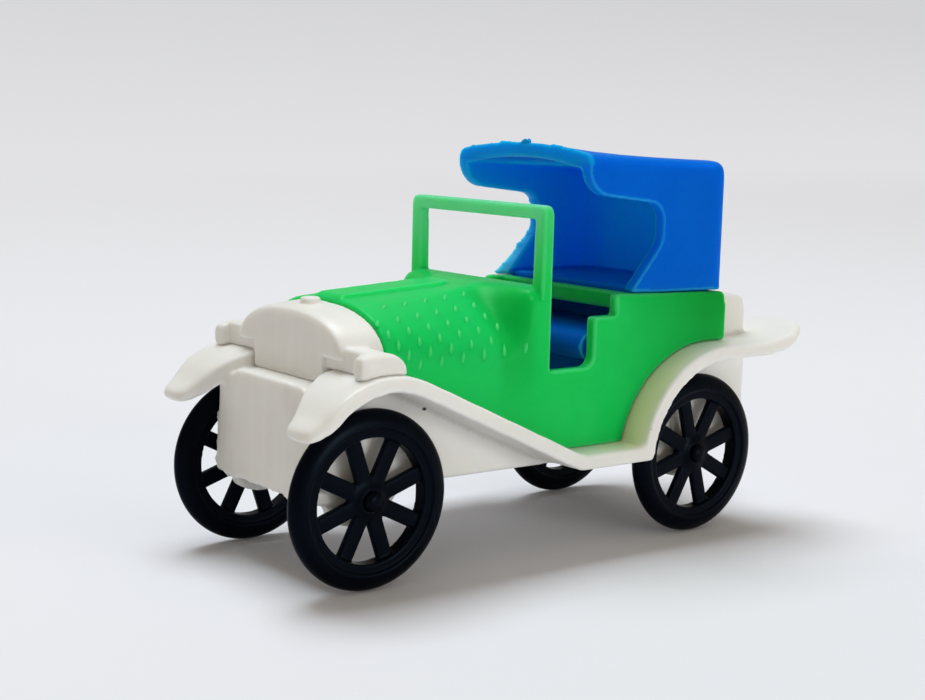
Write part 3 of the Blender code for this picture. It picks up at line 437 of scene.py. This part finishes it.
blackLook = {"base": (0.0008, 0.0011, 0.0026), "cloud": (0.0014, 0.002, 0.005), "rim": (0.003, 0.006, 0.012),
             "corner": (0.001, 0.001, 0.0015), "cloudAmount": 0.7, "rimAmount": 0.6, "gloss": 0.3, "rub": 0.2,
             "relief": 0.3, "shine": 0.055, "shineTint": (0.45, 0.7, 1.0),
             "glow": 0.0, "glowDepth": 0.5 * mm, "glowColour": (1.0, 1.0, 1.0)}

# Place, radius and darkness of dirt specks, and the streaks on the white mouldings' forward faces, darker and
# warmer there partly as painted shade
specks = [((-17.23 * mm, -9.7 * mm, 17.07 * mm), 0.36 * mm, 1.0),
          ((8.78 * mm, -15.3 * mm, 13.3 * mm), 0.16 * mm, 0.45)]
speckColour, speckCore = (0.02, 0.018, 0.015, 1), 0.75
frontStreaksAndShade = {"colour": (0.75, 0.715, 0.645, 1),
        "streakScale": (150, 1300, 60), "streakRange": (0.3, 0.75), "streak": (0.45, 0.66),
        "scuffScale": (300, 420, 300), "scuffRange": (0.4, 0.75), "scuff": (0.0, 0.2)}

# Painted light and shade, and yellowing of the white: each fades in along ramps from start to full, in mm
# along x, y, z or out, the distance from the middle plane; a third number is the least that a ramp leaves
whiteShadeAndYellowing = [
    {"colour": (1.0, 0.84, 0.5), "amount": 0.6, "ramps": [  # painted shade and light from the green tub, and yellowing, beside it
        ("out", 15.2, 14.2), ("out", 10.6, 11.2), ("x", 2.0, 8.5), ("x", 19.0, 11.5), ("z", 22.6, 20.6)]}]
greenPaintedLight = [
    {"colour": (0.0, 0.33, 0.03), "amount": 0.9, "ramps": [  # painted shade on the rear of the tub
        ("x", 6.0, 20.0), ("z", 15.0, 25.0)]},
    {"colour": (0.012, 0.64, 0.15), "amount": 0.45, "ramps": [("x", -8.0, -11.0)]},  # painted light on the bonnet
    {"colour": (0.001, 0.4, 0.04), "amount": 0.4, "ramps": [  # painted shade in the cowl's flare
        ("x", -9.6, -8.4), ("x", -4.4, -5.4), ("z", 28.6, 27.2), ("z", 16.0, 21.0)]},
    {"colour": (0.17, 0.74, 0.36), "amount": 0.95, "ramps": [  # painted glow of light through the thin windscreen frame, less on its shaded near side
        ("z", 28.4, 36.0), ("y", -11.5, -11.0, 0.3)]}]
canopyWall = [("z", 27.0, 27.6), ("z", 41.3, 40.9), ("x", 21.5, 20.5)]
farEdge = [("y", 9.95, 10.15), ("y", 11.3, 11.1)]
bluePaintedLight = [
    {"colour": (0.002, 0.19, 0.9), "amount": 1.0, "ramps": [  # painted light on the near wall's edge face
        ("y", -9.95, -10.15), ("y", -11.3, -11.1), *canopyWall]},
    {"colour": (0.01, 0.3, 0.76), "amount": 1.0, "ramps": [*farEdge, *canopyWall]},  # painted glow of light through the far wall's edge
    {"colour": (0.09, 0.5, 0.84), "amount": 1.0, "ramps": [  # paler painted glow at the foot of the far wall's edge
        *farEdge, *canopyWall, ("z", 34.0, 28.5)]},
    {"colour": (0.003, 0.31, 0.74), "amount": 0.8, "ramps": [  # painted light on the visor's face
        ("x", 3.1, 2.7), ("z", 40.9, 41.3)]},
    {"colour": (0.006, 0.42, 1.0), "amount": 1.0, "ramps": [  # hollow, where light comes through the walls
        ("out", 10.2, 9.95), ("x", 22.3, 21.8), ("z", 41.2, 40.6), ("z", 27.9, 28.4)]}]


def attribute(tree, name):
    # the mesh's values of that name, 0 on a piece without them
    node = tree.nodes.new("ShaderNodeAttribute")
    node.attribute_name = name
    return node.outputs["Fac"]


def axes(tree):
    # the place on the object, whole and as x, y, z
    split = tree.nodes.new("ShaderNodeSeparateXYZ")
    place = tree.nodes.new("ShaderNodeTexCoord").outputs["Object"]
    tree.links.new(place, split.inputs["Vector"])
    return place, split.outputs


def tinted(tree, colour, tints):
    # mixes in each tint by its amount times the product of its ramps
    place, (x, y, z) = axes(tree)
    along = {"x": x, "y": y, "z": z, "out": calc(tree, "ABSOLUTE", y, 0)}
    for tint in tints:
        mask = tint["amount"]
        for axis, start, full, *least in tint["ramps"]:
            mask = calc(tree, "MULTIPLY", ranged(tree, along[axis], start * mm, full * mm, *least), mask)
        colour = mixed(tree, mask, colour, (*tint["colour"], 1))
    return colour


def whiteFinish(tree, colour):
    # streaks on the forward faces, partly painted shade, the painted shade and yellowing beside the green tub,
    # and small dark specks
    place = axes(tree)[0]
    streak = noise(tree, place, 1, 3, frontStreaksAndShade["streakScale"])
    streak = ranged(tree, streak, *frontStreaksAndShade["streakRange"], *frontStreaksAndShade["streak"])
    scuff = noise(tree, place, 1, 3, frontStreaksAndShade["scuffScale"])
    scuff = ranged(tree, scuff, *frontStreaksAndShade["scuffRange"], *frontStreaksAndShade["scuff"])
    # forward faces get darker, warmer streaks: partly streaks on the surface, partly painted shade on the side
    # away from the light
    noiseMask = calc(tree, "MULTIPLY", attribute(tree, "front"), calc(tree, "ADD", streak, scuff))
    colour = tinted(tree, mixed(tree, noiseMask, colour, frontStreaksAndShade["colour"]), whiteShadeAndYellowing)
    for centre, radius, dark in specks:
        away = tree.nodes.new("ShaderNodeVectorMath")
        away.operation = "DISTANCE"
        away.inputs[1].default_value = centre
        tree.links.new(place, away.inputs[0])
        spot = ranged(tree, away.outputs["Value"], radius, speckCore * radius, 0.0, dark)
        colour = mixed(tree, spot, colour, speckColour)
    return colour


def greenFinish(tree, colour):
    return tinted(tree, colour, greenPaintedLight)


def blueFinish(tree, colour):
    return tinted(tree, colour, bluePaintedLight)


whitePlastic = plastic("whitePlastic", whiteLook, whiteFinish)
greenPlastic = plastic("greenPlastic", greenLook, greenFinish)
bluePlastic = plastic("bluePlastic", blueLook, blueFinish)
blackPlastic = plastic("blackPlastic", blackLook)
# thin pieces without light under the surface: the bumps get a lighter rim colour and the gate a lighter blue,
# painted in place of the light through thin plastic
greenThinPlastic = plastic("greenThinPlastic", {**greenLook, "glow": 0.0, "rim": (0.1, 0.76, 0.22)})
blueThinPlastic = plastic("blueThinPlastic", {**blueLook, "glow": 0.0, "base": (0.004, 0.3, 0.72),
                                              "cloud": (0.01, 0.36, 0.78)})
print("stage 2: plastics made")

# Mouldings: the solids with their edges softened, and their slots
mouldings = {
    "chassis": {"voxel": 0.3 * mm, "passes": 13, "swell": 0.03 * mm,
                "rounding": {"reach": 3.4 * mm, "blend": 1.6 * mm, "passes": 30}},
    "radiator": {"voxel": 0.16 * mm, "passes": 9, "swell": 0.09 * mm, "settle": 0.16 * mm},
    "body": {"voxel": 0.21 * mm, "passes": 3, "swell": 0.08 * mm, "settle": 0.07 * mm},
    "canopy": {"voxel": 0.19 * mm, "passes": 2, "swell": 0.07 * mm, "settle": 0.04 * mm},
    "seat": {"voxel": 0.19 * mm, "passes": 5}}
slots = {"chassis": "white_plastic", "radiator": "white_plastic", "body": "green_plastic",
         "canopy": "blue_plastic", "seat": "blue_plastic"}
plastics = {"white_plastic": whitePlastic, "green_plastic": greenPlastic, "blue_plastic": bluePlastic}
pieces = {}

# Headlamps: their rear ends are longer and rounder than the solids
headlamps = {"inner": 12.2 * mm, "blend": 0.4 * mm, "reach": 1.6 * mm, "longer": 0.35 * mm,
             "foot": 21.3 * mm, "drop": 0.75}


def roundLamps(piece):
    # along the last reach: x grows by longer * t, and z above the foot sinks by drop (1 - sqrt(1 - t^2))
    # of itself
    points, normals = vertexArrays(piece.data)
    x, y, z = points.T
    lamp = np.clip((np.abs(y) - headlamps["inner"]) / headlamps["blend"], 0, 1)
    t = np.clip((x - x[lamp > 0.5].max()) / headlamps["reach"] + 1, 0, 1)
    sink = np.clip(z - headlamps["foot"], 0, None) * headlamps["drop"] * (1 - np.sqrt(1 - t ** 2))
    standOut(piece.data, points, lamp * headlamps["longer"] * t, 0 * y, -lamp * sink)


# Where the canopy's edges keep their painted highlight, and the box of its hollow
canopyRims = {"nearFrom": -10.95 * mm, "farFrom": 9.5 * mm, "topFrom": 41.2 * mm, "narrower": 0.3}
hollow = {"halfWidth": 10.0 * mm, "front": 2.8 * mm, "back": 22.0 * mm, "top": 42.4 * mm, "upwards": 0.2}
bonnetEdge = 1.3 * mm  # length of the bonnet inside the radiator shell


def canopyFields(piece):
    # keeps the painted highlight on the canopy's outer edges and on the far wall only, and makes it narrower;
    # attribute "hollow": 1 on the surfaces inside the canopy that don't face upwards
    points, normals = vertexArrays(piece.data)
    x, y, z = points.T
    edge = readField(piece.data, "edge")
    outer = (y < canopyRims["nearFrom"]) | (y > canopyRims["farFrom"]) | (z > canopyRims["topFrom"])
    kept = edge - canopyRims["narrower"] * (edge > 0)
    writeField(piece.data, "edge", np.where(outer, kept, np.minimum(edge, 0)))
    inside = (np.abs(y) < hollow["halfWidth"]) & (x > hollow["front"]) & (x < hollow["back"])
    addField(piece.data, "hollow", inside & (z < hollow["top"]) & (normals[:, 2] < hollow["upwards"]))


def bodyFields(piece):
    # no painted highlight where the bonnet's front edge lies in the radiator shell
    x = vertexArrays(piece.data)[0][:, 0]
    edge = readField(piece.data, "edge")
    writeField(piece.data, "edge", np.where(x < x.min() + bonnetEdge, np.minimum(edge, 0), edge))


for node, settings in mouldings.items():
    piece = moulded(pieceFrom(node + "_moulding", *nodeArrays(node)), **settings)
    pieces[node] = dress(piece, plastics[slots[node]], "car_body", slots[node], node)
roundLamps(pieces["radiator"])
canopyFields(pieces["canopy"])
bodyFields(pieces["body"])
print("stage 3: mouldings softened")

# Bumps in rows on both sides of the bonnet, with a painted highlight on their crests
bumps = {"columns": 6, "rows": 6, "front": 0.2 * mm, "top": 26.7 * mm, "pitch": 2.6 * mm, "drop": 1.0 * mm,
         "lean": 0.06 * mm, "bend": 0.13 * mm, "rise": 0.18 * mm, "halfLength": 0.78 * mm, "halfWidth": 0.3 * mm,
         "height": 0.13 * mm, "sink": 0.04 * mm, "slant": 0.3, "flare": -0.3, "castFrom": 20 * mm,
         "egg": 0.3, "pale": 1.1, "around": 14, "rings": 9, "crest": 0.03}


def makeBumps():
    # soft drops on the bonnet: point = centre + r length cos u * down + r width sin u (1 + egg r cos u) * across
    # + (height cos(pi r / 2)^2 - sink r^2) * normal, r from the crest to the foot under the skin
    skin = BVHTree.FromObject(pieces["body"], bpy.context.evaluated_depsgraph_get())
    low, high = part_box("body")
    u, r = np.meshgrid(2 * pi * np.arange(bumps["around"]) / bumps["around"],
                       np.linspace(bumps["crest"], 1.0, bumps["rings"]))
    lengthways = bumps["halfLength"] * r * np.cos(u)
    sideways = bumps["halfWidth"] * r * np.sin(u) * (1 + bumps["egg"] * r * np.cos(u))
    outwards = bumps["height"] * np.cos(pi * r / 2) ** 2 - bumps["sink"] * r ** 2
    # pale: the painted highlight on each bump's crest, fading out to its foot
    pale = np.clip(bumps["pale"] * np.cos(pi * r / 2), 0, 1).ravel()
    parts = []
    for side in (-1, 1):
        for i in range(bumps["columns"]):
            for j in range(bumps["rows"]):
                x = low.x + bumps["front"] + bumps["pitch"] * i + bumps["lean"] * j + bumps["bend"] * j ** 2
                z = bumps["top"] + bumps["rise"] * i - bumps["drop"] * j
                place, normal = skin.ray_cast((x, side * bumps["castFrom"], z), (0, -side, 0))[:2]
                if normal.x < bumps["flare"]:
                    continue
                down = Vector((-bumps["slant"], 0, -1))
                down = (down - down.dot(normal) * normal).normalized()
                across = np.array(down.cross(normal))
                points = np.array(place) + lengthways[..., None] * np.array(down)
                points = points + sideways[..., None] * across + outwards[..., None] * np.array(normal)
                parts.append(closedTube(points))
    piece = pieceFrom("bonnet_bumps", *joined(parts))
    piece.data.shade_smooth()
    addField(piece.data, "edge", np.tile(pale, len(parts)))
    return dress(piece, greenThinPlastic, "car_body", "green_plastic")


makeBumps()
print("stage 4: bonnet bumps made")

# Flash: the mouldings' parting edges stand out by ragged widths, and the canopy keeps the stub of its gate
canopyFlash = {"roof": 0.22 * mm, "roofReach": 0.5 * mm, "roofBlend": 0.4 * mm, "throat": 0.45 * mm,
               "throatLow": 27 * mm, "throatHigh": 36.5 * mm, "foot": 1.0 * mm, "footTop": 31.5 * mm,
               "footHeight": 3.9 * mm, "footPower": 1.6, "wallFrom": 10.2 * mm, "wallBlend": 0.7 * mm,
               "throatSeed": 8, "roofSeed": 4}
apronFlash = {"foot": 0.4 * mm, "side": 0.4 * mm, "ahead": 3.5 * mm, "low": 9 * mm, "top": 16.5 * mm,
              "footBelow": 9.2 * mm, "cornerBelow": 9.5 * mm, "edge": 0.5 * mm, "footSeed": 23, "sideSeed": 31}
gate = {"at": -0.3 * mm, "back": 0.35 * mm, "sink": 0.06 * mm, "size": (0.34 * mm, 0.6 * mm, 0.42 * mm),
        "power": 0.6, "around": 20, "rings": 13, "end": 1.45, "broadWave": 0.16, "fineWave": 0.1}
waviness = {"pitches": (2, 3, 5, 8, 13, 21, 34, 55), "fall": 0.4, "middle": 0.25, "height": 0.4,
            "power": 1.5, "ends": 12}


def ragged(values, low, high, most, seed):
    # width at each value between low and high: a sum of waves of random phase, cut off below zero
    # and faded at both ends
    w = waviness
    dice = np.random.default_rng(seed)
    along = np.clip((values - low) / (high - low), 0, 1)
    waves = sum(np.sin(2 * pi * (pitch * along + dice.random())) / pitch ** w["fall"] for pitch in w["pitches"])
    width = np.clip(w["middle"] + w["height"] * waves, 0, 1) ** w["power"]
    return most * width * np.clip(w["ends"] * np.minimum(along, 1 - along), 0, 1)


def makeCanopyFlash():
    # forwards along the far wall's edge, most at its foot, and upwards along the visor's top edge
    f = canopyFlash
    low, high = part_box("canopy")
    mesh = pieces["canopy"].data
    points, normals = vertexArrays(mesh)
    x, y, z = points.T
    throat = ragged(z, f["throatLow"], f["throatHigh"], f["throat"], f["throatSeed"])
    foot = f["foot"] * np.clip((f["footTop"] - z) / f["footHeight"], 0, 1) ** f["footPower"]
    outer = np.clip((y - f["wallFrom"]) / f["wallBlend"], 0, 1) * facing(-normals[:, 0]) * (z < f["throatHigh"])
    front = np.clip((low.x + f["roofReach"] - x) / f["roofBlend"], 0, 1) * facing(normals[:, 2])
    roof = ragged(y, low.y, high.y, f["roof"], f["roofSeed"])
    standOut(mesh, points, -outer * (throat + foot), 0 * y, front * roof)


def makeGate():
    # an uneven superellipsoid: signed powers of cosines and sines, times waves round it
    low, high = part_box("canopy")
    u, v = np.meshgrid(2 * pi * np.arange(gate["around"]) / gate["around"],
                       np.linspace(-gate["end"], gate["end"], gate["rings"]))
    uneven = 1 + gate["broadWave"] * np.sin(3 * u + 1) * np.cos(2 * v) + gate["fineWave"] * np.sin(5 * u)
    waves = (np.cos(u), np.sin(u), np.cos(v), np.sin(v))
    cosU, sinU, cosV, sinV = (signedPower(wave, gate["power"]) for wave in waves)
    points = np.stack([cosV * cosU, cosV * sinU, sinV], -1) * uneven[..., None] * gate["size"]
    points = points + (low.x + gate["back"], gate["at"], high.z - gate["sink"])
    piece = pieceFrom("canopy_gate", *closedTube(points))
    piece.data.shade_smooth()
    return dress(piece, blueThinPlastic, "car_body", "blue_plastic")


def makeApronFlash():
    # downwards along the apron's foot and outwards along its two sides
    f = apronFlash
    mesh = pieces["chassis"].data
    points, normals = vertexArrays(mesh)
    x, y, z = points.T
    apron = (x < frontAxle[0] - f["ahead"]) & (z < f["top"])
    half = np.abs(y[apron & (z < f["cornerBelow"])]).max()
    foot = apron * (z < f["footBelow"]) * facing(-normals[:, 2])
    side = apron * (np.abs(y) > half - f["edge"]) * facing(np.abs(normals[:, 1]))
    down = foot * ragged(y, -half, half, f["foot"], f["footSeed"])
    out = np.sign(y) * side * ragged(z, f["low"], f["top"], f["side"], f["sideSeed"])
    standOut(mesh, points, 0 * x, out, -down)


makeCanopyFlash()
makeGate()
makeApronFlash()
print("stage 5: flash made")

# Wheels: turned tyre and hub with bars for spokes, fused into one moulding, on domed axles
wheel = {"radius": 9.0 * mm, "halfWidth": 1.1 * mm, "shoulder": 7.2 * mm, "bead": 0.1 * mm, "rim": 6.2 * mm,
         "step": 0.25 * mm, "halfWeb": 0.4 * mm, "hub": 1.5 * mm, "halfHub": 0.75 * mm, "bore": 1.0 * mm,
         "spokes": 8, "spokeWidth": 1.7 * mm, "spokeThick": 0.8 * mm, "spokeRoot": 0.3 * mm,
         "spokeSink": 0.4 * mm, "spokePower": 5, "spokeStations": 6, "spokeSides": 24, "segments": 128,
         "tread": (radians(80), radians(6), 9), "voxel": 0.13 * mm, "passes": 3,
         "frontTurn": radians(4), "rearTurn": radians(7)}
axle = {"thicker": 0.03 * mm, "dome": 0.45 * mm, "tip": 0.001 * mm, "segments": 40}


def tyreProfile():
    # right half from the rim out to the tread, the tread a half ellipse, then mirrored to the left half
    w = wheel
    angle = np.linspace(*w["tread"])
    tread = np.stack([w["shoulder"] + (w["radius"] - w["shoulder"]) * np.cos(angle),
                      w["halfWidth"] * np.sin(angle)], -1)
    half = np.array([(w["rim"], w["halfWeb"]), (w["rim"], w["halfWidth"] - w["step"]),
                     (w["shoulder"] - w["bead"], w["halfWidth"] - w["step"]), (w["shoulder"], w["halfWidth"])])
    half = np.concatenate([half, tread])
    return np.concatenate([half, half[::-1] * (1, -1)])[::-1]


def hubProfile():
    # a boss that falls in a cone from the bore's lip to the spokes, mirrored to the other half
    w = wheel
    half = np.array([(w["bore"], w["halfHub"]), (0.8 * w["hub"], 0.95 * w["halfHub"]),
                     (w["hub"], 0.75 * w["halfHub"]), (1.25 * w["hub"], w["halfWeb"])])
    return np.concatenate([half, half[::-1] * (1, -1)])[::-1]


def makeWheel(node, body, turn):
    # the two turned rings, and spokes at even angles a along (sin a, 0, cos a)
    w = wheel
    shells = [turned(tyreProfile(), w["segments"]), turned(hubProfile(), w["segments"] // 2)]
    for i in range(w["spokes"]):
        a = turn + 2 * pi * (i + 0.5) / w["spokes"]
        out = np.array((sin(a), 0, cos(a)))
        shells.append(superTube(out * (w["bore"] + w["spokeRoot"]), out * (w["rim"] + w["spokeSink"]),
                                w["spokeWidth"], w["spokeThick"], w["spokePower"],
                                w["spokeStations"], w["spokeSides"]))
    points, faces = joined(shells)
    low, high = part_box(node)
    points = points + np.array((low + high) / 2)
    piece = moulded(pieceFrom(node + "_moulding", points, faces), w["voxel"], w["passes"])
    return dress(piece, blackPlastic, body, "black_plastic", node)


def makeAxle(node, body):
    # a rod turned round y, whose ends are quarter ellipses
    low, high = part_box(node)
    radius, half = (high.z - low.z) / 2 + axle["thicker"], (high.y - low.y) / 2
    angle = np.linspace(0, pi / 2, 6)
    end = np.stack([radius * np.sin(angle) + axle["tip"], half - axle["dome"] * (1 - np.cos(angle))], -1)
    points, faces = turned(np.concatenate([end, end[::-1] * (1, -1)])[::-1], axle["segments"])
    piece = pieceFrom(node + "_rod", points + np.array((low + high) / 2), faces)
    piece.data.shade_smooth()
    return dress(piece, blackPlastic, body, "black_plastic", node)


for end in ("front", "rear"):
    makeAxle(end + "_axle", end + "_wheelset")
    for side in ("left", "right"):
        makeWheel(end + "_" + side + "_wheel", end + "_wheelset", wheel[end + "Turn"])
print("stage 6: wheels and axles made")

# Stage and light
stage = {"floorColour": (0.821, 0.826, 0.87), "rough": 0.7, "shine": 0.1, "front": -1.5, "wallAt": 1.0,
         "bend": 0.4, "top": 2.2, "halfWidth": 2.2, "wallLow": (0.775, 0.775, 0.795),
         "wallHigh": (0.655, 0.655, 0.67), "wallRise": 0.2, "fade": 0.1, "fadeFrom": 0.62, "fadeTo": 0.06,
         "skyColour": (1.0, 0.905, 0.765), "sky": 0.38}
lights = {"key": {"at": (0.03, 0.26, 0.95), "size": 0.55, "power": 7.5, "colour": (0.885, 0.952, 1.0)},
          "fill": {"at": (0.35, -1.1, 0.1), "size": 0.4, "power": 4.5, "colour": (1.0, 0.99, 0.97)}}
aim = Vector((0, 0, 0.02))


def makeStage():
    # a sheet that runs flat, bends up on a quarter circle and stands as a wall behind; where fade / (y + fade)
    # is small, far behind the part, the camera sees a painted glow in place of the lit wall, darker towards the
    # top
    angle = np.linspace(0, pi / 2, 24)
    y = np.concatenate([[stage["front"]], stage["wallAt"] + stage["bend"] * np.sin(angle),
                        [stage["wallAt"] + stage["bend"]]])
    z = np.concatenate([[0.0], stage["bend"] * (1 - np.cos(angle)), [stage["top"]]])
    x = np.array((-stage["halfWidth"], stage["halfWidth"]))
    points = np.stack([np.tile(x, len(y)), np.repeat(y, 2), np.repeat(z, 2)], -1)
    i = 2 * np.arange(len(y) - 1)
    sheet = pieceFrom("backdrop", points, np.stack([i, i + 1, i + 3, i + 2], -1))
    sheet.data.shade_smooth()
    material = bpy.data.materials.new("paper")
    material.use_nodes = True
    tree = material.node_tree
    shader = tree.nodes["Principled BSDF"]
    shader.inputs["Base Color"].default_value = (*stage["floorColour"], 1)
    shader.inputs["Roughness"].default_value = stage["rough"]
    shader.inputs["Specular IOR Level"].default_value = stage["shine"]
    glow, blend = tree.nodes.new("ShaderNodeEmission"), tree.nodes.new("ShaderNodeMixShader")
    place, (x, y, z) = axes(tree)
    tone = mixed(tree, ranged(tree, z, 0.0, stage["wallRise"]), (*stage["wallLow"], 1), (*stage["wallHigh"], 1))
    tree.links.new(tone, glow.inputs["Color"])
    near = calc(tree, "DIVIDE", stage["fade"], calc(tree, "ADD", y, stage["fade"]))
    far = ranged(tree, near, stage["fadeFrom"], stage["fadeTo"])
    seen = tree.nodes.new("ShaderNodeLightPath").outputs["Is Camera Ray"]
    tree.links.new(calc(tree, "MULTIPLY", far, seen), blend.inputs["Fac"])
    tree.links.new(shader.outputs["BSDF"], blend.inputs[1])
    tree.links.new(glow.outputs["Emission"], blend.inputs[2])
    tree.links.new(blend.outputs["Shader"], tree.nodes["Material Output"].inputs["Surface"])
    sheet.data.materials.append(material)


def makeLight():
    world = bpy.data.worlds.new("sky")
    world.use_nodes = True
    sky = world.node_tree.nodes["Background"]
    sky.inputs["Color"].default_value = (*stage["skyColour"], 1)
    sky.inputs["Strength"].default_value = stage["sky"]
    scene.world = world
    for name, settings in lights.items():
        data = bpy.data.lights.new(name, "AREA")
        data.size = settings["size"]
        data.energy = settings["power"]
        data.color = settings["colour"]
        light = bpy.data.objects.new(name, data)
        light.location = settings["at"]
        light.rotation_euler = (aim - light.location).to_track_quat("-Z", "Y").to_euler()
        scene.collection.objects.link(light)


makeCamera()
makeStage()
makeLight()
scene.view_settings.view_transform = "Standard"
print("stage 7: camera, backdrop and light placed")
